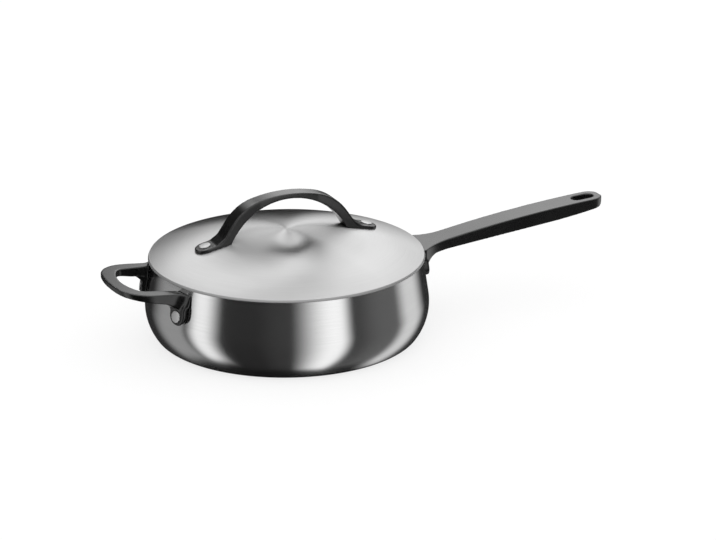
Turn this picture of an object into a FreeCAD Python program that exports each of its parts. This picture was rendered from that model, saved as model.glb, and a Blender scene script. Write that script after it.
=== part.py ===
import FreeCAD, Part
import Sketcher
import os
import re

# A bellied saute pan of clad steel with a domed lid, in millimetres.
# The origin is the middle of the base, on the surface that the pan stands on.
# +Z is up, +X runs along the long handle and the front is the -Y side.

doc = FreeCAD.newDocument("saute_pan")
sheet = doc.addObject("Spreadsheet::Sheet", "Sizes")

# Driving sizes, lengths in millimetres and angles in degrees

PAN = {
    "pan_height": 72.0,
    "rim_radius": 122.0,
    "belly_bulge": 5.8,
    "belly_height": 30.0,
    "belly_arc": 45.6,
    "base_arc": 9.0,
    "outer_ply": 0.5,
    "core_ply": 1.5,
    "inner_ply": 0.5,
    "bond_gap": 0.02,
}

LID = {
    "lid_overhang": 2.0,
    "lid_rise": 22.5,
    "lid_sheet": 0.9,
    "lid_band": 2.6,
    "lid_edge_round": 1.4,
    "lid_fold_round": 0.6,
    "lid_seat_gap": 0.3,
    "skirt_depth": 6.0,
    "skirt_gap": 0.9,
}

LID_HANDLE = {
    "arch_height": 34.6,
    "arch_thickness": 4.7,
    "arch_crown_arc": 124.0,
    "arch_crown_half": 28.0,
    "arch_shoulder_arc": 45.0,
    "arch_leg_slope": 56.0,
    "arch_inner_arc": 62.5,
    "arch_half_width": 7.6,
    "foot_half_width": 9.8,
    "foot_thickness": 3.4,
    "foot_fillet": 7.0,
    "foot_spread": 77.3,
    "foot_straight": 11.0,
}

RIVETS = {
    "shank_radius": 1.9,
    "shank_fit": 0.05,
    "head_radius": 5.2,
    "head_height": 0.9,
    "head_crown": 0.35,
    "head_gap": 0.4,
    "tail_radius": 5.6,
    "tail_height": 1.6,
    "tail_gap": 0.2,
    "rivet_rise_share": 0.29,
}

LUGS = {
    "lug_half_width": 9.4,
    "lug_toe": 8.2,
    "lug_shoulder": 8.0,
    "lug_rise": 19.0,
    "gusset_arc": 18.0,
    "gusset_reach": 13.0,
    "seat_gap": 0.1,
    "overrun": 20.0,
}

LONG_HANDLE = {
    "long_length": 196.8,
    "long_half_width": 12.65,
    "long_root_drop": 6.0,
    "long_root_depth": 10.0,
    "long_root_angle": 4.2,
    "long_bend_arc": 408.0,
    "long_rise_angle": 9.8,
    "long_crown_arc": 1330.0,
    "long_toe_run": 49.7,
    "long_toe_depth": 12.8,
    "long_toe_arc": 683.0,
    "long_tip_depth": 9.8,
    "long_tip_flat": 0.4,
    "long_tip_top_share": 0.18,
    "long_tip_under_share": 0.74,
    "long_flare_run": 36.0,
    "long_flare_arc": 47.6,
    "long_rivet_side": 14.1,
    "long_lug_thickness": 7.2,
    "hang_hole_length": 22.0,
    "hang_hole_half": 5.7,
    "hang_hole_wall": 7.7,
}

HELPER_HANDLE = {
    "helper_length": 47.7,
    "helper_half_width": 45.3,
    "helper_corner_arc": 28.3,
    "helper_end_arc": 116.7,
    "helper_flare_arc": 14.0,
    "helper_top_flare_drop": 4.2,
    "helper_top_flare_rise": 7.2,
    "helper_top_flare_arc": 7.4,
    "helper_band": 11.7,
    "helper_hole_end_arc": 57.0,
    "helper_hole_corner_arc": 10.0,
    "helper_arm": 14.07,
    "helper_splay_angle": 7.0,
    "helper_root_drop": 3.5,
    "helper_root_depth": 12.7,
    "helper_rise": 3.8,
    "helper_waist_run": 15.7,
    "helper_waist_depth": 8.4,
    "helper_under_arc": 250.0,
    "helper_end_depth": 5.0,
    "helper_rivet_inset": 0.3,
    "helper_lug_thickness": 5.2,
}

# Sizes that follow from the driving ones, as formulas of the sheet

PAN_FORM = {
    "belly_radius": "rim_radius + belly_bulge",
    "belly_centre": "belly_radius - belly_arc",
    "base_flat": "belly_centre + sqrt((belly_arc - base_arc)^2 - (belly_height - base_arc)^2)",
    "wall_slant": "sqrt((rim_radius - belly_centre)^2 + (pan_height - belly_height)^2)",
    "wall_bearing": "atan2(pan_height - belly_height; rim_radius - belly_centre)",
    "wall_lean": "wall_bearing - acos(belly_arc / wall_slant)",
    "core_start": "outer_ply + bond_gap",
    "core_end": "core_start + core_ply",
    "liner_start": "core_end + bond_gap",
    "wall": "liner_start + inner_ply",
    "rim_bore": "rim_radius - wall / cos(wall_lean)",
    "wall_straight": "belly_height + belly_arc * sin(wall_lean)",
    "rivet_drop": "(1 - rivet_rise_share) * (pan_height - wall_straight)",
    "rivet_height": "pan_height - rivet_drop",
    "lug_wall_radius": "rim_radius + rivet_drop * tan(wall_lean)",
    "gusset_drop": "gusset_arc - sqrt(gusset_arc^2 - gusset_reach^2)",
    "root_inside": "rim_radius - overrun",
}

LID_FORM = {
    "lid_radius": "rim_radius + lid_overhang",
    "lid_seat": "pan_height + lid_seat_gap",
    "dome_edge": "lid_radius - lid_edge_round",
    "dome_edge_height": "lid_seat + lid_band",
    "dome_top": "dome_edge_height + lid_rise",
    "dome_arc": "(dome_edge^2 + lid_rise^2) / (2 * lid_rise)",
    "dome_centre": "dome_top - dome_arc",
    "skirt_radius": "rim_bore - skirt_gap",
    "skirt_inside": "skirt_radius - lid_sheet",
    "skirt_top": "dome_centre + sqrt((dome_arc - lid_sheet)^2 - skirt_inside^2)",
}

LID_HANDLE_FORM = {
    "foot_tilt": "asin(foot_spread / dome_arc)",
    "foot_tip": "foot_spread + foot_half_width",
    "foot_plane": "dome_centre + (dome_arc + foot_thickness) / cos(foot_tilt)",
    "arch_top": "dome_top + arch_height",
    "arch_inner_centre": "arch_top - arch_thickness - arch_inner_arc",
    "crown_turn": "asin(arch_crown_half / arch_crown_arc)",
    "crown_end": "arch_top - arch_crown_arc * (1 - cos(crown_turn))",
    "leg_turn": "arch_leg_slope * 1 deg",
    "leg_start": "arch_crown_half + arch_shoulder_arc * (sin(leg_turn) - sin(crown_turn))",
    "leg_start_height": "crown_end - arch_shoulder_arc * (cos(crown_turn) - cos(leg_turn))",
    "leg_apex": "leg_start_height + leg_start * tan(leg_turn)",
    "leg_foot": "(leg_apex - foot_plane) / (tan(leg_turn) - tan(foot_tilt))",
    "leg_foot_height": "foot_plane - leg_foot * tan(foot_tilt)",
    "fillet_reach": "foot_fillet * tan((leg_turn - foot_tilt) / 2)",
}

LONG_HANDLE_FORM = {
    "long_tip": "rim_radius + long_length",
    "long_tip_start": "long_tip - long_half_width",
    "long_end": "long_tip - long_tip_flat",
    "long_root_turn": "long_root_angle * 1 deg",
    "long_rise_turn": "long_rise_angle * 1 deg",
    "long_root_top": "pan_height - long_root_drop",
    "long_inside_top": "long_root_top - overrun * tan(long_root_turn)",
    "long_inside_under": "long_inside_top - long_root_depth",
    "long_bend_end": "rim_radius + long_bend_arc * (sin(long_rise_turn) - sin(long_root_turn))",
    "long_bend_top": "long_root_top + long_bend_arc * (cos(long_root_turn) - cos(long_rise_turn))",
    "crown_centre": "long_bend_end + long_crown_arc * sin(long_rise_turn)",
    "crown_centre_height": "long_bend_top - long_crown_arc * cos(long_rise_turn)",
    "long_toe": "long_tip - long_toe_run",
    "long_toe_top": "crown_centre_height + sqrt(long_crown_arc^2 - (crown_centre - long_toe)^2)",
    "long_toe_under": "long_toe_top - long_toe_depth",
    "long_tip_top_round": "long_tip_top_share * long_tip_depth",
    "long_tip_under_round": "long_tip_under_share * long_tip_depth",
    "long_tip_edge": "long_end - long_tip_top_round",
    "long_end_top": "crown_centre_height + sqrt(long_crown_arc^2 - (crown_centre - long_tip_edge)^2)",
    "long_end_under": "long_end_top - long_tip_depth",
    "long_under_slope": "(long_toe_under - long_inside_under) / (long_toe - root_inside)",
    "long_lug_radius": "lug_wall_radius + long_lug_thickness",
    "long_gusset_radius": "long_lug_radius + gusset_reach",
    "long_gusset_height": "long_inside_under + long_under_slope * (long_gusset_radius - root_inside)",
    "long_side_turn": "asin(long_rivet_side / long_lug_radius)",
    "long_root_half": "long_rivet_side + lug_half_width",
    "long_flare_start": "rim_radius + long_flare_run",
    "long_flare_rise": "long_root_half - long_half_width",
    "long_flare_end": "long_flare_start - sqrt(2 * long_flare_arc * long_flare_rise - long_flare_rise^2)",
    "hang_hole_end": "long_tip - hang_hole_wall",
    "hang_hole_start": "hang_hole_end - hang_hole_length",
}

HELPER_HANDLE_FORM = {
    "helper_tip": "rim_radius + helper_length",
    "helper_end": "helper_tip + overrun",
    "helper_slope": "helper_rise / helper_length",
    "helper_top": "pan_height - helper_root_drop",
    "helper_inside_top": "helper_top - helper_slope * overrun",
    "helper_end_top": "helper_top + helper_slope * (helper_length + overrun)",
    "helper_inside_under": "helper_inside_top - helper_root_depth",
    "helper_waist": "rim_radius + helper_waist_run",
    "helper_waist_under": "helper_top + helper_slope * helper_waist_run - helper_waist_depth",
    "helper_under_slope": "(helper_waist_under - helper_inside_under) / (helper_waist - root_inside)",
    "helper_lug_radius": "lug_wall_radius + helper_lug_thickness",
    "helper_rivet_side": "helper_half_width - helper_rivet_inset",
    "helper_side_turn": "asin(helper_rivet_side / helper_lug_radius)",
    "helper_gusset_run": "(helper_lug_radius + gusset_reach) * cos(helper_side_turn) - root_inside",
    "helper_gusset_height": "helper_inside_under + helper_under_slope * helper_gusset_run",
    "helper_end_centre": "helper_tip - helper_end_arc",
    "helper_arc_gap": "helper_end_arc - helper_corner_arc",
    "helper_corner_half": "helper_half_width - helper_corner_arc",
    "helper_corner": "helper_end_centre + sqrt(helper_arc_gap^2 - helper_corner_half^2)",
    "helper_join_share": "helper_end_arc / helper_arc_gap",
    "helper_join": "helper_end_centre + helper_join_share * (helper_corner - helper_end_centre)",
    "helper_join_half": "helper_join_share * helper_corner_half",
    "helper_lug_half": "helper_rivet_side + lug_half_width * cos(helper_side_turn)",
    "helper_flare_end": "helper_lug_radius * cos(helper_side_turn) - lug_half_width * sin(helper_side_turn)",
    "helper_flare_rise": "helper_lug_half - helper_half_width",
    "helper_flare_reach": "sqrt(2 * helper_flare_arc * helper_flare_rise - helper_flare_rise^2)",
    "helper_flare_start": "helper_flare_end + helper_flare_reach",
    "helper_top_half": "helper_half_width + helper_top_flare_rise",
    "helper_top_start": "rim_radius - helper_top_flare_drop",
    "helper_top_square": "2 * helper_top_flare_arc * helper_top_flare_rise - helper_top_flare_rise^2",
    "helper_top_end": "helper_top_start - sqrt(helper_top_square)",
    "helper_loft_top": "helper_end_top + seat_gap",
    "hole_splay": "helper_splay_angle * 1 deg",
    "hole_bend_half": "helper_half_width - helper_arm",
    "hole_corner_half": "hole_bend_half - helper_hole_corner_arc * cos(hole_splay)",
    "hole_end_centre": "helper_tip - helper_band - helper_hole_end_arc",
    "hole_arc_gap": "helper_hole_end_arc - helper_hole_corner_arc",
    "hole_corner": "hole_end_centre + sqrt(hole_arc_gap^2 - hole_corner_half^2)",
    "hole_join_share": "helper_hole_end_arc / hole_arc_gap",
    "hole_join": "hole_end_centre + hole_join_share * (hole_corner - hole_end_centre)",
    "hole_join_half": "hole_join_share * hole_corner_half",
    "hole_bend": "hole_corner + helper_hole_corner_arc * sin(hole_splay)",
    "hole_root_half": "hole_bend_half + (hole_bend - root_inside) * tan(hole_splay)",
}

DRIVING = {**PAN, **LID, **LID_HANDLE, **RIVETS, **LUGS, **LONG_HANDLE, **HELPER_HANDLE}
FOLLOWING = {**PAN_FORM, **LID_FORM, **LID_HANDLE_FORM, **LONG_HANDLE_FORM, **HELPER_HANDLE_FORM}
CELLS = {name: str(value) for name, value in DRIVING.items()}
CELLS.update({name: "=" + formula for name, formula in FOLLOWING.items()})

for row, (name, content) in enumerate(CELLS.items(), start=1):
    sheet.set(f"A{row}", name)
    sheet.set(f"B{row}", content)
    sheet.setAlias(f"B{row}", name)
doc.recompute()


def bound(formula):
    """The formula with every size in it read from the sheet."""
    return re.sub(r"[a-z_]+", lambda word: f"Sizes.{word[0]}" if word[0] in CELLS else word[0], formula)


def worked(formula):
    """The formula's present value."""
    value = sheet.evalExpression(bound(formula))
    return float(getattr(value, "Value", value))


# Sketches: a closed chain of corners, with arcs where the outline is round


def new_sketch(body, plane, name):
    sketch = body.newObject("Sketcher::SketchObject", name)
    support = [feature for feature in body.Origin.OriginFeatures if feature.Role == plane][0]
    sketch.AttachmentSupport = (support, [""])
    sketch.MapMode = "FlatFace"
    return sketch


def arc_between(start, end, radius, turn):
    """An arc of under half a circle from start to end, with its centre to the left or right."""
    chord = end - start
    middle = (start + end) / 2
    height = (radius**2 - chord.Length**2 / 4) ** 0.5
    aside = FreeCAD.Vector(-chord.y, chord.x, 0).normalize()
    centre = middle + aside * (height if turn == "left" else -height)
    circle = Part.Circle(centre, FreeCAD.Vector(0, 0, 1), radius)
    first, last = (start, end) if turn == "left" else (end, start)
    return Part.ArcOfCircle(circle, circle.parameter(first), circle.parameter(last))


def draw(sketch, corners, bends):
    """Draws a closed outline; bends gives the (turn, radius) of an arc that leaves a corner."""
    points = [FreeCAD.Vector(worked(x), worked(y), 0) for x, y in corners]
    edges = []
    for index, start in enumerate(points):
        end = points[(index + 1) % len(points)]
        if index in bends:
            turn, radius = bends[index]
            edges.append(arc_between(start, end, worked(radius), turn))
        else:
            edges.append(Part.LineSegment(start, end))
    first = sketch.GeometryCount
    sketch.addGeometry(edges, False)
    starts = [2 if index in bends and bends[index][0] == "right" else 1 for index in range(len(points))]
    for index, start in enumerate(starts):
        after = (index + 1) % len(points)
        ends = (first + index, 3 - start, first + after, starts[after])
        sketch.addConstraint(Sketcher.Constraint("Coincident", *ends))
    for index, (x, y) in enumerate(corners):
        for kind, formula in (("DistanceX", x), ("DistanceY", y)):
            place = Sketcher.Constraint(kind, -1, 1, first + index, starts[index], worked(formula))
            number = sketch.addConstraint(place)
            sketch.setExpression(f"Constraints[{number}]", bound(formula))
    for index, (turn, radius) in bends.items():
        number = sketch.addConstraint(Sketcher.Constraint("Radius", first + index, worked(radius)))
        sketch.setExpression(f"Constraints[{number}]", bound(radius))


def across(corners):
    """The corners mirrored left to right, in the order that carries the outline on."""
    return [(f"-({x})", y) for x, y in reversed(corners)]


def over(corners):
    """The corners mirrored front to back, in the order that carries the outline on."""
    return [(x, f"-({y})") for x, y in reversed(corners)]


def turned_body(name, axis, corners, bends):
    """A solid of revolution from an outline in the XZ plane."""
    body = doc.addObject("PartDesign::Body", name)
    sketch = new_sketch(body, "XZ_Plane", name + "_section")
    draw(sketch, corners, bends)
    turn = body.newObject("PartDesign::Revolution", name + "_turn")
    turn.Profile = sketch
    turn.ReferenceAxis = (sketch, [axis])
    turn.Angle = 360
    return body


def padded_body(name, plane, outlines, length):
    """A solid of constant section, half to each side of the plane of its outlines."""
    body = doc.addObject("PartDesign::Body", name)
    sketch = new_sketch(body, plane, name + "_outline")
    for corners, bends in outlines:
        draw(sketch, corners, bends)
    pad = body.newObject("PartDesign::Pad", name + "_pad")
    pad.Profile = sketch
    pad.Midplane = True
    pad.setExpression("Length", bound(length))
    return body


def lofted_body(name, low, low_height, high, high_height):
    """A solid whose section blends from one level outline to another."""
    body = doc.addObject("PartDesign::Body", name)
    sections = []
    for level, (corners, bends), height in (("low", low, low_height), ("high", high, high_height)):
        sketch = new_sketch(body, "XY_Plane", f"{name}_{level}")
        draw(sketch, corners, bends)
        sketch.setExpression("AttachmentOffset.Base.z", bound(height))
        sections.append(sketch)
    loft = body.newObject("PartDesign::AdditiveLoft", name + "_loft")
    loft.Profile = sections[0]
    loft.Sections = sections[1:]
    loft.Ruled = True
    return body


def joined(kind, name, pieces):
    shape = doc.addObject(kind, name)
    shape.Shapes = pieces
    return shape


def cut(name, base, tools):
    shape = doc.addObject("Part::Cut", name)
    shape.Base = base
    shape.Tool = joined("Part::MultiFuse", name + "_cuts", tools)
    return shape


# Frames shared by the rivets, their holes and the lugs: +X points out of the sheet that a rivet holds


def wall_frame(angle):
    """On the wall's outer face at the rivets' height, at an angle about Z."""
    place = f"vector(lug_wall_radius * cos({angle}); lug_wall_radius * sin({angle}); rivet_height)"
    return f"placement({place}; rotation({angle}; -wall_lean; 0 deg))"


def dome_frame(side, yaw):
    """On the lid's outer face at a foot of its handle."""
    place = f"vector({side} * foot_spread; 0; dome_centre + dome_arc * cos(foot_tilt))"
    return f"placement({place}; rotation({yaw}; foot_tilt - 90 deg; 0 deg))"


LONG_FRAMES = {"front": wall_frame("(-long_side_turn)"), "back": wall_frame("long_side_turn")}
HELPER_FRAMES = {
    "front": wall_frame("(180 deg + helper_side_turn)"),
    "back": wall_frame("(180 deg - helper_side_turn)"),
}
LID_FRAMES = {"left": dome_frame("-1", "180 deg"), "right": dome_frame("1", "0 deg")}


def bore(name, frame, radius, start):
    """A round cutter along the frame's X, from a distance outside its sheet."""
    cylinder = doc.addObject("Part::Cylinder", name)
    cylinder.setExpression("Radius", bound(radius))
    cylinder.setExpression("Height", bound("2 * overrun"))
    along = f"placement(vector({start}; 0; 0); rotation(0 deg; 90 deg; 0 deg))"
    cylinder.setExpression("Placement", bound(f"{frame} * {along}"))
    return cylinder


def shank_holes(name, frames):
    return [bore(f"{name}_hole_{side}", frame, "shank_radius + shank_fit", "-overrun")
            for side, frame in frames.items()]


def head_seats(name, frames, thickness):
    """Spot-faces that keep a handle clear of its rivets' heads."""
    return [bore(f"{name}_head_seat_{place}", frame, "head_radius + head_gap", thickness)
            for place, frame in frames.items()]


def rivet(name, frame, held_sheet, held_lug):
    """One rivet: a flat crowned head outside, a shank, and a low domed tail inside."""
    inside = f"-({held_sheet}) - tail_gap"
    corners = [
        (f"{inside} - tail_height", "0"),
        (f"{held_lug} + head_height + head_crown", "0"),
        (f"{held_lug} + head_height", "head_radius"),
        (held_lug, "head_radius"),
        (held_lug, "shank_radius"),
        (inside, "shank_radius"),
        (inside, "tail_radius"),
    ]
    bends = {
        1: ("left", "(head_radius^2 + head_crown^2) / (2 * head_crown)"),
        6: ("left", "(tail_radius^2 + tail_height^2) / (2 * tail_height)"),
    }
    body = turned_body(name, "H_Axis", corners, bends)
    body.setExpression("Placement", bound(frame))
    return body


# Pan body: three bonded plies, each a shell between two depths below the outer face


def pan_side(depth):
    """The pan's section at a depth below its outer face, from the axis to the rim."""
    arc = f"(belly_arc - ({depth}))"
    share = f"{arc} / (belly_arc - base_arc)"
    return [
        ("0", depth),
        ("base_flat", depth),
        (f"belly_centre + {share} * (base_flat - belly_centre)",
         f"belly_height - {share} * (belly_height - base_arc)"),
        (f"belly_centre + {arc} * cos(wall_lean)", f"belly_height + {arc} * sin(wall_lean)"),
        (f"rim_radius - ({depth}) / cos(wall_lean)", "pan_height"),
    ]


def ply(name, outer, inner):
    corners = pan_side(outer) + pan_side(inner)[::-1]
    bends = {
        1: ("left", f"base_arc - ({outer})"),
        2: ("left", f"belly_arc - ({outer})"),
        6: ("right", f"belly_arc - ({inner})"),
        7: ("right", f"base_arc - ({inner})"),
    }
    blank = turned_body(name + "_blank", "V_Axis", corners, bends)
    holes = shank_holes(name + "_long", LONG_FRAMES) + shank_holes(name + "_helper", HELPER_FRAMES)
    return cut(name, blank, holes)


nodes = [
    ply("pan_outer_shell", "0", "outer_ply"),
    ply("pan_aluminium_core", "core_start", "core_end"),
    ply("pan_inner_liner", "liner_start", "wall"),
]

# Lid: a spherical dome whose edge folds under to a band, with a skirt inside the rim

lid_corners = [
    ("0", "dome_top"),
    ("0", "dome_top - lid_sheet"),
    ("skirt_inside", "skirt_top"),
    ("skirt_inside", "lid_seat - skirt_depth"),
    ("skirt_radius", "lid_seat - skirt_depth"),
    ("skirt_radius", "lid_seat"),
    ("lid_radius - lid_fold_round", "lid_seat"),
    ("lid_radius", "lid_seat + lid_fold_round"),
    ("lid_radius", "dome_edge_height - lid_edge_round"),
    ("dome_edge", "dome_edge_height"),
]
lid_bends = {
    1: ("right", "dome_arc - lid_sheet"),
    6: ("left", "lid_fold_round"),
    8: ("left", "lid_edge_round"),
    9: ("left", "dome_arc"),
}
lid_blank = turned_body("lid_blank", "V_Axis", lid_corners, lid_bends)
nodes.append(cut("lid", lid_blank, shank_holes("lid", LID_FRAMES)))

# Lid handle: an arch with a flat foot at each end, seated on the dome

arch_right = [
    ("arch_crown_half", "crown_end"),
    ("leg_start", "leg_start_height"),
    ("leg_foot - fillet_reach * cos(leg_turn)", "leg_foot_height + fillet_reach * sin(leg_turn)"),
    ("leg_foot + fillet_reach * cos(foot_tilt)", "leg_foot_height - fillet_reach * sin(foot_tilt)"),
    ("foot_tip + overrun", "foot_plane - (foot_tip + overrun) * tan(foot_tilt)"),
    ("foot_tip + overrun", "dome_centre"),
]
arch_bends = {
    0: ("right", "arch_shoulder_arc"),
    2: ("left", "foot_fillet"),
    8: ("left", "foot_fillet"),
    10: ("right", "arch_shoulder_arc"),
    11: ("right", "arch_crown_arc"),
}
arch_outlines = [(arch_right + across(arch_right), arch_bends)]
arch_side = padded_body("arch_side", "XZ_Plane", arch_outlines, "2 * (foot_half_width + overrun)")

arch_front = [
    ("-foot_spread", "-foot_half_width"),
    ("foot_straight - foot_spread", "-foot_half_width"),
    ("-arch_crown_half", "-arch_half_width"),
    ("arch_crown_half", "-arch_half_width"),
    ("foot_spread - foot_straight", "-foot_half_width"),
    ("foot_spread", "-foot_half_width"),
]
arch_outline = arch_front + [("foot_tip", "0")] + over(arch_front) + [("-foot_tip", "0")]
foot_ends = {corner: ("left", "foot_half_width") for corner in (5, 6, 12, 13)}
arch_plan = padded_body("arch_plan", "XY_Plane", [(arch_outline, foot_ends)], "2 * (arch_top + overrun)")

arch_opening = doc.addObject("Part::Cylinder", "arch_opening")
arch_opening.setExpression("Radius", bound("arch_inner_arc"))
arch_opening.setExpression("Height", bound("2 * (foot_half_width + overrun)"))
arch_opening.setExpression("Placement", bound(
    "placement(vector(0; foot_half_width + overrun; arch_inner_centre); rotation(0 deg; 0 deg; 90 deg))"))

dome_seat = doc.addObject("Part::Sphere", "dome_seat")
dome_seat.setExpression("Radius", bound("dome_arc + seat_gap"))
dome_seat.setExpression("Placement.Base.z", bound("dome_centre"))

arch = joined("Part::MultiCommon", "arch", [arch_side, arch_plan])
arch_seats = head_seats("lid_handle", LID_FRAMES, "foot_thickness")
arch_holes = shank_holes("lid_handle", LID_FRAMES)
nodes.append(cut("lid_handle", arch, [arch_opening, dome_seat] + arch_seats + arch_holes))

# Seat that the wall cuts into both pan handles: the pan's outer form, a hair larger

wall_seat = turned_body(
    "wall_seat", "V_Axis", pan_side("-seat_gap") + [("0", "pan_height")],
    {1: ("left", "base_arc + seat_gap"), 2: ("left", "belly_arc + seat_gap")})


def lug(name, frame, plan, handle):
    """A riveted tongue on the wall, and the round gusset that carries it into the bar above."""
    thickness = f"{handle}_lug_thickness"
    reach = f"({thickness} + gusset_reach)"
    top = f"({handle}_gusset_height - rivet_height - {reach} * sin(wall_lean)) / cos(wall_lean)"
    inside_bar = f"{top} + {handle}_root_depth / 2"
    face_corners = [
        ("-lug_half_width", "lug_half_width - lug_toe"),
        ("0", "-lug_toe"),
        ("lug_half_width", "lug_half_width - lug_toe"),
        ("lug_half_width", "lug_rise"),
        ("-lug_half_width", "lug_rise"),
    ]
    face_bends = {0: ("left", "lug_half_width"), 1: ("left", "lug_half_width")}
    face = padded_body(name + "_face", "YZ_Plane", [(face_corners, face_bends)], "3 * overrun")
    tongue_corners = [
        ("-overrun", "-overrun"),
        (thickness, "-overrun"),
        (thickness, "lug_shoulder"),
        ("0", "lug_rise"),
        ("-overrun", "lug_rise"),
    ]
    tongue = padded_body(name + "_tongue", "XZ_Plane", [(tongue_corners, {})], "2 * overrun")
    gusset_corners = [
        ("0", f"{top} - gusset_drop"),
        (thickness, f"{top} - gusset_drop"),
        (reach, top),
        (reach, inside_bar),
        ("0", inside_bar),
    ]
    gusset_bends = {1: ("right", "gusset_arc")}
    gusset = padded_body(name + "_gusset", "XZ_Plane", [(gusset_corners, gusset_bends)], "2 * lug_half_width")
    for body in (face, tongue, gusset):
        body.setExpression("Placement", bound(frame))
    return [
        joined("Part::MultiCommon", name + "_on_wall", [face, tongue]),
        joined("Part::MultiCommon", name + "_under_bar", [gusset, plan]),
    ]


def riveted_handle(handle, side, plan, frames):
    """A handle's bar with a lug per rivet, seated on the wall and drilled and spot-faced for the rivets."""
    name = handle + "_handle"
    pieces = [joined("Part::MultiCommon", name + "_bar", [side, plan])]
    for place, frame in frames.items():
        pieces += lug(f"{name}_lug_{place}", frame, plan, handle)
    blank = joined("Part::MultiFuse", name + "_blank", pieces)
    seats = head_seats(name, frames, f"{handle}_lug_thickness")
    return cut(name, blank, [wall_seat] + seats + shank_holes(name, frames))


# Long handle: a flat-topped bar that rises to its tip, with a wide root and an oval hanging hole

long_profile = [
    ("root_inside", "long_inside_under"),
    ("long_toe", "long_toe_under"),
    ("long_end - long_tip_under_round", "long_end_under"),
    ("long_end", "long_end_under + long_tip_under_round"),
    ("long_end", "long_end_top - long_tip_top_round"),
    ("long_tip_edge", "long_end_top"),
    ("long_bend_end", "long_bend_top"),
    ("rim_radius", "long_root_top"),
    ("root_inside", "long_inside_top"),
]
long_profile_bends = {
    1: ("left", "long_toe_arc"),
    2: ("left", "long_tip_under_round"),
    4: ("left", "long_tip_top_round"),
    5: ("left", "long_crown_arc"),
    6: ("right", "long_bend_arc"),
}
long_side = padded_body(
    "long_side", "XZ_Plane", [(long_profile, long_profile_bends)], "2 * (long_root_half + overrun)")

long_front = [
    ("root_inside", "-long_root_half"),
    ("long_flare_end", "-long_root_half"),
    ("long_flare_start", "-long_half_width"),
    ("long_tip_start", "-long_half_width"),
]
long_outline = long_front + [("long_tip", "0")] + over(long_front)
long_outline_bends = {
    1: ("right", "long_flare_arc"),
    3: ("left", "long_half_width"),
    4: ("left", "long_half_width"),
    6: ("right", "long_flare_arc"),
}
hole_front = [
    ("hang_hole_start + hang_hole_half", "-hang_hole_half"),
    ("hang_hole_end - hang_hole_half", "-hang_hole_half"),
]
hole_outline = hole_front + [("hang_hole_end", "0")] + over(hole_front) + [("hang_hole_start", "0")]
hole_ends = {corner: ("left", "hang_hole_half") for corner in (1, 2, 4, 5)}
long_plan = padded_body(
    "long_plan", "XY_Plane", [(long_outline, long_outline_bends), (hole_outline, hole_ends)],
    "2 * (long_end_top + overrun)")

nodes.append(riveted_handle("long", long_side, long_plan, LONG_FRAMES))

# Helper handle: a flat loop that rises a little to its end

helper_profile = [
    ("-helper_end", "helper_end_top - helper_end_depth"),
    ("-helper_waist", "helper_waist_under"),
    ("-root_inside", "helper_inside_under"),
    ("-root_inside", "helper_inside_top"),
    ("-helper_end", "helper_end_top"),
]
helper_side = padded_body(
    "helper_side", "XZ_Plane", [(helper_profile, {0: ("right", "helper_under_arc")})],
    "2 * (helper_lug_half + overrun)")

helper_inner = [
    ("-root_inside", "hole_root_half"),
    ("-hole_bend", "hole_bend_half"),
    ("-hole_join", "hole_join_half"),
]


def helper_outline(flare_start, flare_end, root_half, flare_arc):
    """The loop's outline, with its own flare where the arms meet the wall."""
    outer = [
        ("-root_inside", f"-{root_half}"),
        (f"-{flare_end}", f"-{root_half}"),
        (f"-{flare_start}", "-helper_half_width"),
        ("-helper_corner", "-helper_half_width"),
        ("-helper_join", "-helper_join_half"),
    ]
    bends = {
        1: ("left", flare_arc),
        3: ("right", "helper_corner_arc"),
        4: ("right", "helper_end_arc"),
        5: ("right", "helper_corner_arc"),
        7: ("left", flare_arc),
        11: ("left", "helper_hole_corner_arc"),
        12: ("left", "helper_hole_end_arc"),
        13: ("left", "helper_hole_corner_arc"),
    }
    return outer + over(outer) + helper_inner + over(helper_inner), bends


helper_plan = lofted_body(
    "helper_plan",
    helper_outline("helper_flare_start", "helper_flare_end", "helper_lug_half", "helper_flare_arc"),
    "rivet_height",
    helper_outline("helper_top_start", "helper_top_end", "helper_top_half", "helper_top_flare_arc"),
    "helper_loft_top")

nodes.append(riveted_handle("helper", helper_side, helper_plan, HELPER_FRAMES))

# Rivets, two to each handle

for handle, frames, held_sheet, held_lug in (
    ("long_handle", LONG_FRAMES, "wall", "long_lug_thickness"),
    ("helper_handle", HELPER_FRAMES, "wall", "helper_lug_thickness"),
    ("lid_handle", LID_FRAMES, "lid_sheet", "foot_thickness"),
):
    for place, frame in frames.items():
        nodes.append(rivet(f"{handle}_rivet_{place}", frame, held_sheet, held_lug))

doc.recompute()

# Every object has to be sound before any piece is written

for thing in doc.Objects:
    if "Invalid" in thing.State or "Error" in thing.State:
        raise RuntimeError(f"{thing.Label} did not build: {thing.State}")

os.makedirs("parts", exist_ok=True)
for node in nodes:
    if node.Shape.isNull() or not node.Shape.isValid():
        raise RuntimeError(f"{node.Label} has no sound shape")
    node.Shape.exportStep(f"parts/{node.Label}.step")
    print(node.Label, len(node.Shape.Solids), "solid", round(node.Shape.Volume), "mm3")
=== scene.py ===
# %% [markdown]
# # A saute pan with its lid
# The pan is pressed from bonded steel and aluminium, its three handles are black castings
# and steel rivets hold them on. The CAD frame already has each of these as an exact solid,
# in metres, with +Z up and +X along the long handle. This notebook loads that frame and
# makes a finer piece for each solid: turned sheet for the pan, lid and rivets, and castings
# with soft edges for the handles. Loading comes first, as every piece takes its place from it.

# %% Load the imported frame
import math
import bmesh
import bpy
from mathutils import Euler, Matrix


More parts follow.
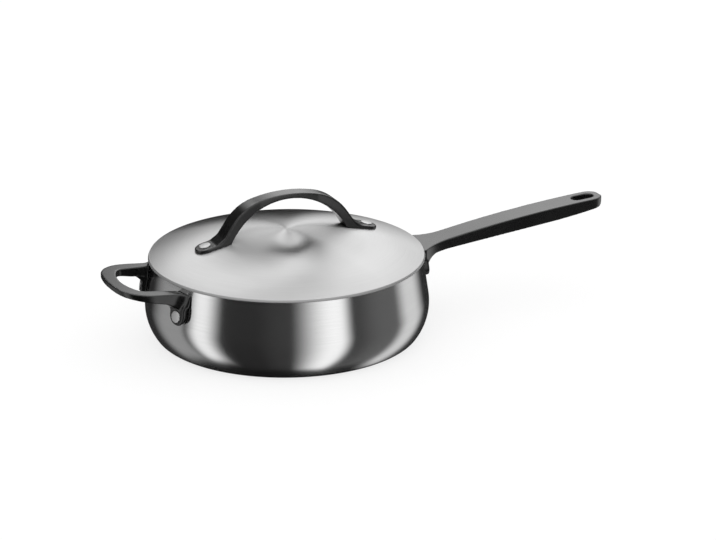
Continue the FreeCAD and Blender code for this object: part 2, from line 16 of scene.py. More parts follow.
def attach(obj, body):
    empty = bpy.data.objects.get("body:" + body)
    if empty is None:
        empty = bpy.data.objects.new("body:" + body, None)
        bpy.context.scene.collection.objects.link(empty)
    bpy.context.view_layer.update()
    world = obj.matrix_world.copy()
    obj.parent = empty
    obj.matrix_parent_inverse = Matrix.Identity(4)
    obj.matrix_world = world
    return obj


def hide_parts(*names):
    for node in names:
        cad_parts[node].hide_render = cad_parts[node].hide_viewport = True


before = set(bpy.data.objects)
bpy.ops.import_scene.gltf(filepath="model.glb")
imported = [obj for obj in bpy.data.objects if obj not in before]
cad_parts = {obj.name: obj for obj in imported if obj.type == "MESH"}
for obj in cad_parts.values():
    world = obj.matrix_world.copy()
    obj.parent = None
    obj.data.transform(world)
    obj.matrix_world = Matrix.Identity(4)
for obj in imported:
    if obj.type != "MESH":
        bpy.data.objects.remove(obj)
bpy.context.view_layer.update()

# %% [markdown]
# ## Turned sections
# Spun and pressed sheet is a section turned about an upright axis. The section could be typed
# as a list of points, but a maker thinks of it as straight runs and arcs. So two small tools
# carry a section on from its last point: one extrudes the point to a new place, the other
# spins it about an arc's centre. A full spin about Z then makes a closed skin of the section.

# %% Tools that draw a section and turn it
ROUND_STEPS = 192
SEAM = 1e-7
UPRIGHT = (0, 0, 1)
ARC_AXIS = (0, -1, 0)


def point_at(mesh, radius, height):
    """Starts a section in the upright plane through the X axis."""
    return mesh.verts.new((radius, 0, height))


def run_to(mesh, last, radius, height):
    """Carries a section on in a straight run."""
    end = bmesh.ops.extrude_vert_indiv(mesh, verts=[last])["verts"][0]
    end.co = (radius, 0, height)
    return end


def arc_about(mesh, last, radius, height, degrees, steps):
    """Carries a section on round a centre; positive degrees turn from outwards to upwards."""
    spun = bmesh.ops.spin(
        mesh, geom=[last], cent=(radius, 0, height), axis=ARC_AXIS,
        angle=math.radians(degrees), steps=steps)
    return [item for item in spun["geom_last"] if isinstance(item, bmesh.types.BMVert)][0]


def turn_round(mesh, steps=ROUND_STEPS):
    """Turns the drawn section right round the Z axis and closes its seam and poles."""
    section = mesh.verts[:] + mesh.edges[:]
    bmesh.ops.spin(
        mesh, geom=section, cent=(0, 0, 0), axis=UPRIGHT, angle=math.tau, steps=steps, use_merge=True)
    bmesh.ops.remove_doubles(mesh, verts=mesh.verts[:], dist=SEAM)
    bmesh.ops.recalc_face_normals(mesh, faces=mesh.faces[:])


def add_object(mesh, name):
    """Hands the mesh over to a new object in the scene."""
    data = bpy.data.meshes.new(name)
    mesh.to_mesh(data)
    mesh.free()
    made = bpy.data.objects.new(name, data)
    bpy.context.scene.collection.objects.link(made)
    return made


def stand_for(piece, node, body, sharp_degrees):
    """Shades a piece smooth up to its sharp edges, and puts it in the place of its CAD node."""
    piece.data.shade_smooth()
    piece.data.set_sharp_from_angle(angle=math.radians(sharp_degrees))
    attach(piece, body)
    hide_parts(node)
    print(piece.name, "has", len(piece.data.polygons), "faces")


# %% [markdown]
# ## The pan body
# The real body is one sandwich of three sheets: steel, aluminium, steel. Its wall bellies out
# above a small arc at the base, then leans in a little to the rim. All three plies follow the
# same outline, so one function draws it at any depth below the outer face, and each ply is
# the skin between two depths. The rim's two corners are eased as a polisher would ease them.

# %% Sizes of the pan body
SHEET_SHARP = 35
BASE_STEPS = 10
BELLY_STEPS = 24
pan_height = 0.072
rim_radius = 0.122
belly_bulge = 0.0058
belly_height = 0.030
belly_arc = 0.0456
base_arc = 0.009
rim_ease = 0.00025
skin_sheet = 0.0005
core_sheet = 0.0015
bond_gap = 0.00002

core_depth = skin_sheet + bond_gap
liner_depth = core_depth + core_sheet + bond_gap
wall_thickness = liner_depth + skin_sheet
belly_centre = rim_radius + belly_bulge - belly_arc
base_flat = belly_centre + math.sqrt((belly_arc - base_arc) ** 2 - (belly_height - base_arc) ** 2)
rim_bearing = math.atan2(pan_height - belly_height, rim_radius - belly_centre)
rim_distance = math.hypot(pan_height - belly_height, rim_radius - belly_centre)
wall_lean = rim_bearing - math.acos(belly_arc / rim_distance)
arc_join = math.atan2(base_arc - belly_height, base_flat - belly_centre)
print("the wall leans in by", round(math.degrees(wall_lean), 2), "degrees")


# %% Turn the three plies
def rim_at(depth):
    """The rim's radius at a depth below the outer face."""
    return rim_radius - depth / math.cos(wall_lean)


def ply(name, outer, inner):
    """One ply: out along the base, up the wall, over the rim and back down inside."""
    outer_ease = rim_ease if outer == 0 else 0
    inner_ease = rim_ease if inner == wall_thickness else 0
    inner_belly = belly_arc - inner
    wall_foot = belly_centre + inner_belly * math.cos(wall_lean)
    wall_foot_height = belly_height + inner_belly * math.sin(wall_lean)
    base_turn = 90 + math.degrees(arc_join)
    belly_turn = math.degrees(wall_lean - arc_join)
    mesh = bmesh.new()
    last = point_at(mesh, 0, outer)
    last = run_to(mesh, last, base_flat, outer)
    last = arc_about(mesh, last, base_flat, base_arc, base_turn, BASE_STEPS)
    last = arc_about(mesh, last, belly_centre, belly_height, belly_turn, BELLY_STEPS)
    last = run_to(mesh, last, rim_at(outer), pan_height - outer_ease)
    last = run_to(mesh, last, rim_at(outer) - outer_ease, pan_height)
    last = run_to(mesh, last, rim_at(inner) + inner_ease, pan_height)
    last = run_to(mesh, last, rim_at(inner), pan_height - inner_ease)
    last = run_to(mesh, last, wall_foot, wall_foot_height)
    last = arc_about(mesh, last, belly_centre, belly_height, -belly_turn, BELLY_STEPS)
    last = arc_about(mesh, last, base_flat, base_arc, -base_turn, BASE_STEPS)
    run_to(mesh, last, 0, inner)
    turn_round(mesh)
    piece = add_object(mesh, name + "_sheet")
    stand_for(piece, name, "pan", SHEET_SHARP)
    return piece


outer_shell = ply("pan_outer_shell", 0, skin_sheet)
core = ply("pan_aluminium_core", core_depth, core_depth + core_sheet)
liner = ply("pan_inner_liner", liner_depth, wall_thickness)

# %% [markdown]
# ## The lid
# The lid is one spun sheet: a shallow dome, an edge that is folded down to a narrow band, and a
# skirt inside that keeps it centred in the rim. The band leans out towards its foot, so it
# catches the light as a grey line. The section starts at the crown, runs out over the edge,
# goes round the fold, down and round the skirt, and comes back under the dome.

# %% Sizes of the lid
DOME_STEPS = 60
EDGE_STEPS = 6
FOLD_STEPS = 8
UNDER_STEPS = 48
lid_overhang = 0.002
lid_rise = 0.0225
lid_sheet = 0.0009
lid_band = 0.0026
lid_edge_round = 0.0006
lid_edge_lean = 27
lid_fold_round = 0.0005
lid_seat_gap = 0.0003
skirt_depth = 0.006
skirt_gap = 0.0009

lid_radius = rim_radius + lid_overhang
lid_seat = pan_height + lid_seat_gap
lean = math.radians(lid_edge_lean)
fold_centre = lid_radius - lid_fold_round
fold_height = lid_seat + lid_fold_round
fold_start = fold_centre + lid_fold_round * math.cos(lean)
fold_start_height = fold_height + lid_fold_round * math.sin(lean)
band_height = lid_seat + lid_band - lid_edge_round
band_centre = fold_centre + (lid_fold_round - lid_edge_round) / math.cos(lean)
band_centre -= (band_height - fold_height) * math.tan(lean)
dome_edge = band_centre
dome_edge_height = lid_seat + lid_band
dome_top = dome_edge_height + lid_rise
dome_arc = (dome_edge**2 + lid_rise**2) / (2 * lid_rise)
dome_centre = dome_top - dome_arc
inner_arc = dome_arc - lid_sheet
skirt_radius = rim_at(wall_thickness) - skirt_gap
skirt_inside = skirt_radius - lid_sheet
skirt_foot = lid_seat - skirt_depth
dome_turn = math.degrees(math.asin(dome_edge / dome_arc))
inner_turn = math.degrees(math.asin(skirt_inside / inner_arc))
inner_edge_height = dome_centre + inner_arc * math.cos(math.radians(inner_turn))
print("the dome's radius is", round(dome_arc, 4), "m")

# %% Turn the lid
mesh = bmesh.new()
last = point_at(mesh, 0, dome_top)
last = arc_about(mesh, last, 0, dome_centre, -dome_turn, DOME_STEPS)
last = run_to(mesh, last, band_centre, band_height + lid_edge_round)
last = arc_about(mesh, last, band_centre, band_height, lid_edge_lean - 90, EDGE_STEPS)
last = run_to(mesh, last, fold_start, fold_start_height)
last = arc_about(mesh, last, fold_centre, fold_height, -lid_edge_lean - 90, FOLD_STEPS)
last = run_to(mesh, last, skirt_radius, lid_seat)
last = run_to(mesh, last, skirt_radius, skirt_foot)
last = run_to(mesh, last, skirt_inside, skirt_foot)
last = run_to(mesh, last, skirt_inside, inner_edge_height)
arc_about(mesh, last, 0, dome_centre, inner_turn, UNDER_STEPS)
turn_round(mesh)
lid = add_object(mesh, "lid_sheet")
stand_for(lid, "lid", "lid", SHEET_SHARP)

# %% [markdown]
# ## The castings
# The handles are cast and then coated, so none of their edges is sharp: each has the small
# round that a mould and a coat of paint leave. Bevels would need clean edges all over a shape
# that branches into lugs. Instead a merged copy of the CAD solid is wrapped in a fine even
# mesh, and some rounds of smoothing draw its edges in. The copy is tilted while it is wrapped,
# as an edge that runs along the wrapping's grid would come out stepped. Where the helper handle
# spreads into its lugs it is smoothed for longer, in reaches that end one after the other. The
# feet of the lid's arch run into its legs in soft corners, so small prisms fill these first.

# %% Fill and wrap a solid
MERGE = 1e-6
cast_grid = 0.00055
cast_turns = (0.4, 0.5, 0.6)
cast_tilt = Euler(cast_turns).to_matrix()


def fill_corner(mesh, section, half_width):
    """A small prism across the object's middle plane, over a section of runs and heights."""
    first = mesh.faces.new([mesh.verts.new((run, -half_width, height)) for run, height in section])
    grown = bmesh.ops.extrude_face_region(mesh, geom=[first])["geom"]
    moved = [item for item in grown if isinstance(item, bmesh.types.BMVert)]
    bmesh.ops.translate(mesh, vec=(0, 2 * half_width, 0), verts=moved)
    prism = {face for vert in (*first.verts, *moved) for face in vert.link_faces}
    bmesh.ops.recalc_face_normals(mesh, faces=list(prism))


def even_mesh(node, corners=()):
    """A node's CAD solid, merged, with some of its corners filled, and wrapped in an even mesh."""
    mesh = bmesh.new()
    mesh.from_mesh(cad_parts[node].data)
    bmesh.ops.remove_doubles(mesh, verts=mesh.verts[:], dist=MERGE)
    for section, half_width in corners:
        fill_corner(mesh, section, half_width)
    bmesh.ops.transform(mesh, matrix=cast_tilt, verts=mesh.verts[:])
    blank = add_object(mesh, node + "_blank")
    wrap = blank.modifiers.new("even mesh", "REMESH")
    wrap.mode = "VOXEL"
    wrap.voxel_size = cast_grid
    evaluated = blank.evaluated_get(bpy.context.evaluated_depsgraph_get())
    wrapped = bmesh.new()
    wrapped.from_mesh(evaluated.to_mesh())
    evaluated.to_mesh_clear()
    bpy.data.objects.remove(blank)
    bmesh.ops.transform(wrapped, matrix=cast_tilt.inverted(), verts=wrapped.verts[:])
    return wrapped


# %% Soften a casting
CAST_SHARP = 180
relax_rounds = 12
relax_share = 0.5
root_rounds = 8


def relax(mesh, verts, rounds):
    """Draws vertices towards their neighbours, some rounds long."""
    for _ in range(rounds):
        bmesh.ops.smooth_vert(
            mesh, verts=verts, factor=relax_share, use_axis_x=True, use_axis_y=True, use_axis_z=True)


def casting(node, body, root_reaches=(), corners=()):
    """A handle with soft edges for its CAD node, softer still within some reaches of the axis."""
    mesh = even_mesh(node, corners)
    relax(mesh, mesh.verts[:], relax_rounds)
    for reach in root_reaches:
        relax(mesh, [vert for vert in mesh.verts if vert.co.xy.length < reach], root_rounds)
    piece = add_object(mesh, node + "_casting")
    stand_for(piece, node, body, CAST_SHARP)
    return piece


# %% Make the three castings
helper_root_reaches = (0.138, 0.134, 0.13)
foot_corner = ((0.0705, 0.0938), (0.0624, 0.0994), (0.0632, 0.0938))
foot_half_width = 0.009

foot_corners = []
for side in (-1, 1):
    section = [(side * run, height) for run, height in foot_corner]
    foot_corners.append((section, foot_half_width))

castings = [
    casting("long_handle", "pan"),
    casting("helper_handle", "pan", root_reaches=helper_root_reaches),
    casting("lid_handle", "lid", corners=foot_corners),
]

# %% [markdown]
# ## The rivets
# A rivet is turned steel: a flat head with a slight crown outside, a shank, and a tail that is
# hammered to a low dome inside. All six share one section, with their own grip between head
# and tail. The section is turned upright at the origin, its head is given flat coordinates
# for the marks of the tool, and then the rivet is tilted to lie along the wall's or lid's normal.

# %% Turn one rivet
RIVET_STEPS = 48
TAIL_STEPS = 8
CORNER_STEPS = 5
CROWN_STEPS = 6
head_radius = 0.0052
head_height = 0.0009
head_crown = 0.00035
head_ease = 0.0003
shank_radius = 0.0019
tail_radius = 0.0056
tail_height = 0.0016
tail_gap = 0.0002


def rivet(node, body, held_sheet, held_lug, place):
    """One rivet that holds a sheet and a lug, with its zero on the sheet's outer face."""
    inside = -held_sheet - tail_gap
    tail_arc = (tail_radius**2 + tail_height**2) / (2 * tail_height)
    tail_turn = math.degrees(math.asin(tail_radius / tail_arc))
    crown_arc = (head_radius**2 + head_crown**2) / (2 * head_crown)
    crown_centre = held_lug + head_height + head_crown - crown_arc
    corner = head_radius - head_ease
    crown_turn = math.degrees(math.asin(corner / (crown_arc - head_ease)))
    corner_height = crown_centre + (crown_arc - head_ease) * math.cos(math.radians(crown_turn))
    mesh = bmesh.new()
    last = point_at(mesh, 0, inside - tail_height)
    last = arc_about(mesh, last, 0, inside - tail_height + tail_arc, tail_turn, TAIL_STEPS)
    last = run_to(mesh, last, shank_radius, inside)
    last = run_to(mesh, last, shank_radius, held_lug)
    last = run_to(mesh, last, head_radius, held_lug)
    last = run_to(mesh, last, head_radius, corner_height)
    last = arc_about(mesh, last, corner, corner_height, 90 - crown_turn, CORNER_STEPS)
    arc_about(mesh, last, 0, crown_centre, crown_turn, CROWN_STEPS)
    turn_round(mesh, RIVET_STEPS)
    flat = mesh.loops.layers.uv.new("head")
    for face in mesh.faces:
        for loop in face.loops:
            loop[flat].uv = loop.vert.co.xy / head_radius
    bmesh.ops.transform(mesh, matrix=place, verts=mesh.verts[:])
    piece = add_object(mesh, node + "_turned")
    stand_for(piece, node, body, SHEET_SHARP)
    return piece


# %% Set the six rivets
rivet_rise_share = 0.29
long_rivet_side = 0.0141
long_lug_thickness = 0.0072
helper_rivet_side = 0.045
helper_lug_thickness = 0.0052
foot_spread = 0.0773
foot_thickness = 0.0034
seat_gap = 0.0001

wall_straight = belly_height + belly_arc * math.sin(wall_lean)
rivet_height = wall_straight + rivet_rise_share * (pan_height - wall_straight)
lug_wall_radius = rim_radius + (pan_height - rivet_height) * math.tan(wall_lean)
foot_tilt = math.asin(foot_spread / dome_arc)


def on_wall(turn):
    """The place on the pan's outer face at a turn about Z, facing along the wall's normal."""
    lean = Matrix.Rotation(math.pi / 2 - wall_lean, 4, "Y")
    return Matrix.Rotation(turn, 4, "Z") @ Matrix.Translation((lug_wall_radius, 0, rivet_height)) @ lean


def on_dome(tilt):
    """The place on the lid's outer face at a tilt from upright."""
    middle = Matrix.Translation((0, 0, dome_centre))
    return middle @ Matrix.Rotation(tilt, 4, "Y") @ Matrix.Translation((0, 0, dome_arc))


long_turn = math.asin(long_rivet_side / (lug_wall_radius + long_lug_thickness))
helper_turn = math.asin(helper_rivet_side / (lug_wall_radius + helper_lug_thickness))
rivets = []
for name, turn, lug in [
    ("long_handle_rivet_front", -long_turn, long_lug_thickness),
    ("long_handle_rivet_back", long_turn, long_lug_thickness),
    ("helper_handle_rivet_front", math.pi + helper_turn, helper_lug_thickness),
    ("helper_handle_rivet_back", math.pi - helper_turn, helper_lug_thickness),
]:
    rivets.append(rivet(name, "pan", wall_thickness, lug + seat_gap, on_wall(turn)))
for name, tilt in [("lid_handle_rivet_left", -foot_tilt), ("lid_handle_rivet_right", foot_tilt)]:
    rivets.append(rivet(name, "lid", lid_sheet, foot_thickness + seat_gap, on_dome(tilt)))

# %% [markdown]
# ## Node helpers
# The finishes are built from shader nodes. A few helpers keep that readable: one adds a node
# with its settings, two do sums between sockets, of numbers or of vectors, and one makes a
# smooth step.


# %% Helpers for shader nodes
def new_material(name):
    """An empty material and its node tree."""
    made = bpy.data.materials.new(name)
    made.use_nodes = True
    made.node_tree.nodes.clear()
    return made, made.node_tree


def add(tree, kind, inputs=None, **settings):
    """Adds a node, sets its properties and fills its inputs with values or links."""
    node = tree.nodes.new(kind)
    for key, value in settings.items():
        setattr(node, key, value)
    for key, value in (inputs or {}).items():
        if isinstance(value, bpy.types.NodeSocket):
            tree.links.new(value, node.inputs[key])
        else:
            node.inputs[key].default_value = value
    return node


def sums(tree, operation, *values):
    """A sum of sockets and plain numbers."""
    return add(tree, "ShaderNodeMath", dict(enumerate(values)), operation=operation).outputs[0]


def vectors(tree, operation, *values, output=0):
    """A sum of vectors."""
    node = add(tree, "ShaderNodeVectorMath", dict(enumerate(values)), operation=operation)
    return node.outputs[output]


def step(tree, value, low, high, least=0, most=1):
    """A smooth step from least, at low, to most, at high."""
    ends = {"Value": value, "From Min": low, "From Max": high, "To Min": least, "To Max": most}
    return add(tree, "ShaderNodeMapRange", ends, interpolation_type="SMOOTHSTEP").outputs["Result"]


def blend(tree, share, low, high):
    """Goes from low to high by a share."""
    return add(tree, "ShaderNodeMix", {"Factor": share, "A": low, "B": high}).outputs["Result"]


def surface(tree, shader):
    """Makes a shader the material's surface."""
    add(tree, "ShaderNodeOutputMaterial", {"Surface": shader})


# %% [markdown]
# ## Camera
# The camera's place and lens were found by matching the pan's ellipses with the photo: a long
# lens, a little above the lid, turned so that the long handle runs off to the back right.

# %% Camera
SENSOR = 36
camera_lens = 133.84
camera_place = (-0.862954, -2.077359, 0.861225)
camera_down = 19.653
camera_aside = -24.183
camera_tilt = math.radians(90 - camera_down)
camera_turn = math.radians(camera_aside)

camera_data = bpy.data.cameras.new("camera")
camera_data.sensor_width = SENSOR
camera_data.lens = camera_lens
camera = bpy.data.objects.new("camera", camera_data)
camera.location = camera_place
camera.rotation_euler = (camera_tilt, 0, camera_turn)
bpy.context.scene.collection.objects.link(camera)
bpy.context.scene.camera = camera
bpy.context.scene.view_settings.view_transform = "Standard"
print("camera looks down by", camera_down, "degrees")

# %% [markdown]
# ## The studio
# Polished steel shows what stands round it, so the studio decides how the pan looks. In the
# photo the wall mirrors upright strips of light between dark cloths, while the lid mirrors a
# bright wall behind it with a brighter box at each side and a dark cloth at the left. A large
# tent carries these, and only mirrored rays see it. Every panel is set by four turns from the
# camera, in degrees: where it begins, is full, starts to fade and ends. Panels at the back also
# have four heights of the same kind. The last number is the panel's light.

# %% Panels of the tent
tent_dark = 0.03
panels = {
    "left card": (-136, -107, -88, -78, 0.42),
    "left strip": (-84, -69, -65, -46, 1.35),
    "right veil": (-45, 0, 38, 54, 0.055),
    "right box": (0, 37, 41, 54, 1.5),
    "right card": (36, 80, 92, 100, 0.16),
    "right strip": (88, 109, 117, 142, 0.95),
}
back_boxes = {
    "left": ((-166, -156, -148, -138), (29, 39, 50, 62), 2.5),
    "right": ((148, 158, 160, 170), (26, 36, 40, 52), 2.9),
}
dark_cloth = ((-175, -159, -112, -100), (-4, 4, 53, 67))
print("tent with", len(panels), "panels and", len(back_boxes), "boxes at the back")


# %% Directions in the tent
def sine(degrees):
    """The height of a direction at an angle above the horizon."""
    return math.sin(math.radians(degrees))


tent_glow, tent_tree = new_material("tent_panels")
place = add(tent_tree, "ShaderNodeTexCoord").outputs["Object"]
part = add(tent_tree, "ShaderNodeSeparateXYZ", {0: vectors(tent_tree, "NORMALIZE", place)}).outputs
tent_height = part["Z"]
bearing = sums(tent_tree, "ARCTAN2", part["Y"], part["X"])
from_camera = sums(tent_tree, "SUBTRACT", bearing, camera_turn - math.pi / 2)
tent_turn = sums(tent_tree, "WRAP", from_camera, math.pi, -math.pi)


def turned(begin, full, angle=tent_turn):
    """A smooth step between two turns, in degrees."""
    return step(tent_tree, angle, math.radians(begin), math.radians(full))


def raised(low, high, least=0, most=1):
    """A smooth step between two heights above the horizon, in degrees."""
    return step(tent_tree, tent_height, sine(low), sine(high), least, most)


def upright(begin, full, fading, end):
    """The share of an upright panel: it opens from begin to full and closes from fading to end."""
    return sums(tent_tree, "MULTIPLY", turned(begin, full), turned(end, fading))


def patch(turns, heights):
    """The share of an upright panel that is also bounded in height."""
    low, low_full, high_full, high = heights
    bounded = sums(tent_tree, "MULTIPLY", raised(low, low_full), raised(high, high_full))
    return sums(tent_tree, "MULTIPLY", upright(*turns), bounded)


# %% [markdown]
# The upright panels come first. Towards the ground the tent fades to dark, and it does so from
# higher up at the left and at the right than in front. The bright wall is laid over that: it
# begins lower behind the pan than beside it, and is a little brighter overhead. The dark cloth
# and the two boxes at the back come last, on top of the wall.

# %% Paint the tent from the ground up
nadir_dark = 0.012
left_turns = (-40, -60)
right_turns = (50, 90)
ground_dark = {"front": -68, "left": -56, "right": -65}
ground_light = {"front": -60, "left": -40, "right": -50}
left_side = turned(*left_turns)
right_side = turned(*right_turns)


def ground(heights):
    """A height near the ground, which differs in front and at both sides."""
    at_left = blend(tent_tree, left_side, sine(heights["front"]), sine(heights["left"]))
    return blend(tent_tree, right_side, at_left, sine(heights["right"]))


glow = tent_dark
for *edges, light in panels.values():
    glow = sums(tent_tree, "MAXIMUM", glow, sums(tent_tree, "MULTIPLY", upright(*edges), light))
above_ground = step(tent_tree, tent_height, ground(ground_dark), ground(ground_light))
glow = blend(tent_tree, above_ground, nadir_dark, glow)

# %% Paint the wall, the cloth and the boxes
back_light = 1.43
overhead_share = 1.2
overhead_heights = (64, 72)
behind_turns = (125, 158)
wall_dark = {"beside": 14, "behind": 7}
wall_bright = {"beside": 66, "behind": 24.5}

behind = turned(*behind_turns, angle=sums(tent_tree, "ABSOLUTE", tent_turn))
wall_begins = blend(tent_tree, behind, sine(wall_dark["beside"]), sine(wall_dark["behind"]))
wall_full = blend(tent_tree, behind, sine(wall_bright["beside"]), sine(wall_bright["behind"]))
glow = blend(tent_tree, step(tent_tree, tent_height, wall_begins, wall_full), glow, back_light)
glow = sums(tent_tree, "MULTIPLY", glow, raised(*overhead_heights, 1, overhead_share))
glow = blend(tent_tree, patch(*dark_cloth), glow, tent_dark)
for *edges, light in back_boxes.values():
    glow = blend(tent_tree, patch(*edges), glow, light)
surface(tent_tree, add(tent_tree, "ShaderNodeEmission", {"Strength": glow}).outputs[0])
tent_glow.cycles.emission_sampling = "NONE"
print("tent painted with", len(tent_tree.nodes), "nodes")

# %% Hang the tent
TENT_RADIUS = 1
TENT_ROUND_STEPS = 48
TENT_HEIGHT_STEPS = 24

mesh = bmesh.new()
bmesh.ops.create_uvsphere(
    mesh, u_segments=TENT_ROUND_STEPS, v_segments=TENT_HEIGHT_STEPS, radius=TENT_RADIUS)
bmesh.ops.reverse_faces(mesh, faces=mesh.faces[:])
tent = add_object(mesh, "studio_tent")
tent.data.materials.append(tent_glow)
tent.visible_camera = False
tent.visible_diffuse = False
tent.visible_shadow = False
tent.visible_transmission = False
print("tent", 2 * TENT_RADIUS, "m wide")

# %% [markdown]
# ## Floor and daylight
# Even white light fills the room. The floor is pale, keeps the pan's soft shadow and is lifted
# to white for the camera only, as in a product photo that is taken on a white sweep.

# %% Floor and world
FLOOR_HALF = 8
floor_sink = 0.0002
floor_pale = 0.3
floor_lift = 0.73
white = (1, 1, 1, 1)

world = bpy.data.worlds.new("white_room")
world.use_nodes = True
world.node_tree.nodes["Background"].inputs["Color"].default_value = white
world.node_tree.nodes["Background"].inputs["Strength"].default_value = 1
bpy.context.scene.world = world

floor_paint, tree = new_material("pale_floor")
pale = add(tree, "ShaderNodeBsdfDiffuse", {"Color": (floor_pale, floor_pale, floor_pale, 1)})
seen = add(tree, "ShaderNodeLightPath").outputs["Is Camera Ray"]
lift = add(tree, "ShaderNodeEmission", {"Strength": sums(tree, "MULTIPLY", seen, floor_lift)})
surface(tree, add(tree, "ShaderNodeAddShader", {0: pale.outputs[0], 1: lift.outputs[0]}).outputs[0])

mesh = bmesh.new()
bmesh.ops.create_grid(mesh, x_segments=1, y_segments=1, size=FLOOR_HALF)
bmesh.ops.translate(mesh, verts=mesh.verts[:], vec=(0, 0, -floor_sink))
floor = add_object(mesh, "floor")
floor.data.materials.append(floor_paint)
floor.visible_glossy = False
print("floor", 2 * FLOOR_HALF, "m wide")


# %% [markdown]
# ## Shared effects
# Three effects are used by more than one finish, so each is a node group with named inputs.
# Brush lines run round the pan's axis: noise that is stretched along circles, read from the
# radius plus the height so that it never smears on a wall, a dome or a base. Handling marks
# are large soft clouds. Grain is the fine skin of a casting or of ground metal.


# %% Tools for node groups
def new_group(name, inputs, output):
    """A node group with a Position, some named values and one output."""
    group = bpy.data.node_groups.new(name, "ShaderNodeTree")
    group.interface.new_socket("Position", in_out="INPUT", socket_type="NodeSocketVector")
    for label, value in inputs.items():
        socket = group.interface.new_socket(label, in_out="INPUT", socket_type="NodeSocketFloat")
        socket.default_value = value
    group.interface.new_socket(output, in_out="OUTPUT", socket_type="NodeSocketFloat")
    given = group.nodes.new("NodeGroupInput").outputs
    return group, given, group.nodes.new("NodeGroupOutput").inputs


def use(tree, group, **inputs):
    """Places a node group, fills its named inputs and gives its output."""
    named = {label.replace("_", " "): value for label, value in inputs.items()}
    return add(tree, "ShaderNodeGroup", named, node_tree=group).outputs[0]


# %% Brush lines
brush_inputs = {"Line Width": 0.002, "Arcs": 2}
brush_noise = {"Scale": 1, "Detail": 4, "Roughness": 0.65}

brush_lines, given, result = new_group("brush_lines", brush_inputs, "Line")
part = add(brush_lines, "ShaderNodeSeparateXYZ", {0: given["Position"]}).outputs
flat = add(brush_lines, "ShaderNodeCombineXYZ", {"X": part["X"], "Y": part["Y"]}).outputs[0]
radius = vectors(brush_lines, "LENGTH", flat, output="Value")
circle = {0: vectors(brush_lines, "NORMALIZE", flat), "Scale": given["Arcs"]}
around = add(brush_lines, "ShaderNodeVectorMath", circle, operation="SCALE").outputs[0]
across = sums(brush_lines, "DIVIDE", sums(brush_lines, "ADD", radius, part["Z"]), given["Line Width"])
across = add(brush_lines, "ShaderNodeCombineXYZ", {"Z": across}).outputs[0]
spot = vectors(brush_lines, "ADD", around, across)
noise = add(brush_lines, "ShaderNodeTexNoise", {"Vector": spot, **brush_noise})
brush_lines.links.new(noise.outputs["Fac"], result["Line"])
print("brush lines from", len(brush_lines.nodes), "nodes")

# %% Handling marks and grain
mark_inputs = {"Size": 0.05}
mark_noise = {"Detail": 3, "Roughness": 0.55, "Distortion": 0.4}
mark_low = 0.35
mark_high = 0.7
grain_inputs = {"Size": 0.0008}
grain_noise = {"Detail": 2}

handling_marks, given, result = new_group("handling_marks", mark_inputs, "Mark")
scale = sums(handling_marks, "DIVIDE", 1, given["Size"])
clouds = {"Vector": given["Position"], "Scale": scale, **mark_noise}
noise = add(handling_marks, "ShaderNodeTexNoise", clouds)
mark = step(handling_marks, noise.outputs["Fac"], mark_low, mark_high)
handling_marks.links.new(mark, result["Mark"])

grain, given, result = new_group("grain", grain_inputs, "Height")
scale = sums(grain, "DIVIDE", 1, given["Size"])
noise = add(grain, "ShaderNodeTexNoise", {"Vector": given["Position"], "Scale": scale, **grain_noise})
grain.links.new(noise.outputs["Fac"], result["Height"])
print("groups:", brush_lines.name, handling_marks.name, grain.name)

# %% [markdown]
# ## Steel and aluminium
# All sheets carry fine lines in circles, and such lines draw a highlight out one way. The shader
# draws it out along its tangent, by its anisotropy. On the pan the photo's highlights run up and
# down the wall, so the tangent points out from the axis. On the lid they sweep round the crown,
# so it points along the circles. The lines also vary the tone and the roughness a little, and
# handling marks dull some places. Each finish differs in tone, roughness and width of line.

# %% A brushed or spun metal
handled_share = 1.06


def grey(tree, value):
    """A neutral colour from one value."""
    return add(tree, "ShaderNodeCombineColor", {0: value, 1: value, 2: value}).outputs[0]


def brushed_metal(name, tone, roughness, line_width, line_share, stretch, drawn="outwards"):
    """A metal with lines round the pan's axis, whose highlights are drawn out one way."""
    made, tree = new_material(name)
    place = add(tree, "ShaderNodeTexCoord").outputs["Object"]
    normal = add(tree, "ShaderNodeNewGeometry").outputs["Normal"]
    around = vectors(tree, "CROSS_PRODUCT", UPRIGHT, place)
    outwards = vectors(tree, "CROSS_PRODUCT", around, normal)
    line = use(tree, brush_lines, Position=place, Line_Width=line_width)
    mark = use(tree, handling_marks, Position=place)
    shade = blend(tree, line, tone * (1 - line_share), tone * (1 + line_share))
    dull = blend(tree, line, roughness * (1 + line_share), roughness * (1 - line_share))
    dull = sums(tree, "MULTIPLY", dull, blend(tree, mark, 1, handled_share))
    skin = add(tree, "ShaderNodeBsdfPrincipled", {
        "Base Color": grey(tree, shade),
        "Metallic": 1,
        "Roughness": dull,
        "Anisotropic": stretch,
        "Tangent": outwards if drawn == "outwards" else around,
    })
    surface(tree, skin.outputs[0])
    return made


# %% Finish the sheets
outer_look = {"tone": 0.6, "roughness": 0.17, "line_width": 0.0009, "line_share": 0.08, "stretch": 0.8}
inner_look = {"tone": 0.6, "roughness": 0.3, "line_width": 0.0015, "line_share": 0.15, "stretch": 0.8}
core_look = {"tone": 0.72, "roughness": 0.35, "line_width": 0.0006, "line_share": 0.1, "stretch": 0.5}
lid_look = {"tone": 0.53, "roughness": 0.38, "line_width": 0.0007, "line_share": 0.06, "stretch": 1}

finishes = {
    outer_shell: brushed_metal("outer_steel", **outer_look),
    liner: brushed_metal("inner_steel", **inner_look),
    core: brushed_metal("core_aluminium", **core_look),
    lid: brushed_metal("lid_steel", drawn="around", **lid_look),
}
for piece, finish in finishes.items():
    piece.data.materials.append(finish)
print("metals:", [finish.name for finish in finishes.values()])

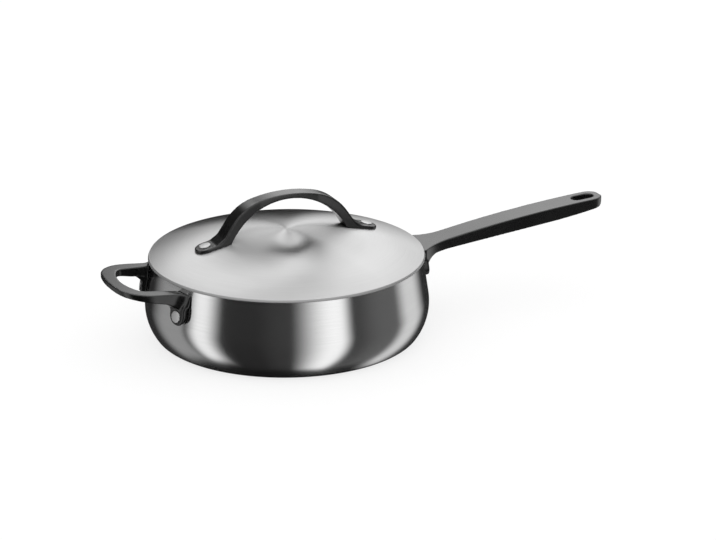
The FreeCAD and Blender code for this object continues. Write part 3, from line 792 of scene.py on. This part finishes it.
# %% [markdown]
# ## Rivet heads
# A rivet's head is faced on a lathe, so fine rings run round its own centre. The rings read
# the flat coordinates that each head was given before it was tilted into place.

# %% Faced rivets
ring_count = 14
ring_tones = (0.5, 0.66)
ring_roughness = (0.5, 0.3)
ground_grain = 0.0015

rivet_steel, tree = new_material("rivet_steel")
flat = add(tree, "ShaderNodeUVMap", uv_map="head").outputs[0]
radius = vectors(tree, "LENGTH", flat, output="Value")
facing = {"W": sums(tree, "MULTIPLY", radius, ring_count), "Scale": 1, "Detail": 3}
rings = add(tree, "ShaderNodeTexNoise", facing, noise_dimensions="1D").outputs["Fac"]
place = add(tree, "ShaderNodeTexCoord").outputs["Object"]
mark = use(tree, grain, Position=place, Size=ground_grain)
skin = add(tree, "ShaderNodeBsdfPrincipled", {
    "Base Color": grey(tree, blend(tree, rings, *ring_tones)),
    "Metallic": 1,
    "Roughness": blend(tree, sums(tree, "MULTIPLY", rings, mark), *ring_roughness),
})
surface(tree, skin.outputs[0])
for piece in rivets:
    piece.data.materials.append(rivet_steel)
print("rivets:", len(rivets))

# %% [markdown]
# ## Black castings
# The handles carry a satin black coat over cast metal. The coat keeps a trace of the casting's
# grain, so its highlights break up softly, and hands have dulled some places. A second, clear
# coat gives the tops their grey sheen at a low angle while the sides stay black.

# %% Satin black
cast_grain = 0.0011
cast_grain_depth = 0.0001
cast_grain_share = 0.25
hand_mark = 0.03
black_tones = (0.002, 0.005)
black_roughness = (0.24, 0.3)

handle_black, tree = new_material("handle_black")
place = add(tree, "ShaderNodeTexCoord").outputs["Object"]
height = use(tree, grain, Position=place, Size=cast_grain)
mark = use(tree, handling_marks, Position=place, Size=hand_mark)
relief = {"Height": height, "Strength": cast_grain_share, "Distance": cast_grain_depth}
skin = add(tree, "ShaderNodeBsdfPrincipled", {
    "Base Color": grey(tree, blend(tree, mark, *black_tones)),
    "Roughness": blend(tree, mark, *black_roughness),
    "IOR": 1.4,
    "Coat Weight": 0.7,
    "Coat Roughness": 0.25,
    "Coat IOR": 1.4,
    "Normal": add(tree, "ShaderNodeBump", relief).outputs[0],
})
surface(tree, skin.outputs[0])
for piece in castings:
    piece.data.materials.append(handle_black)
print("castings:", len(castings))
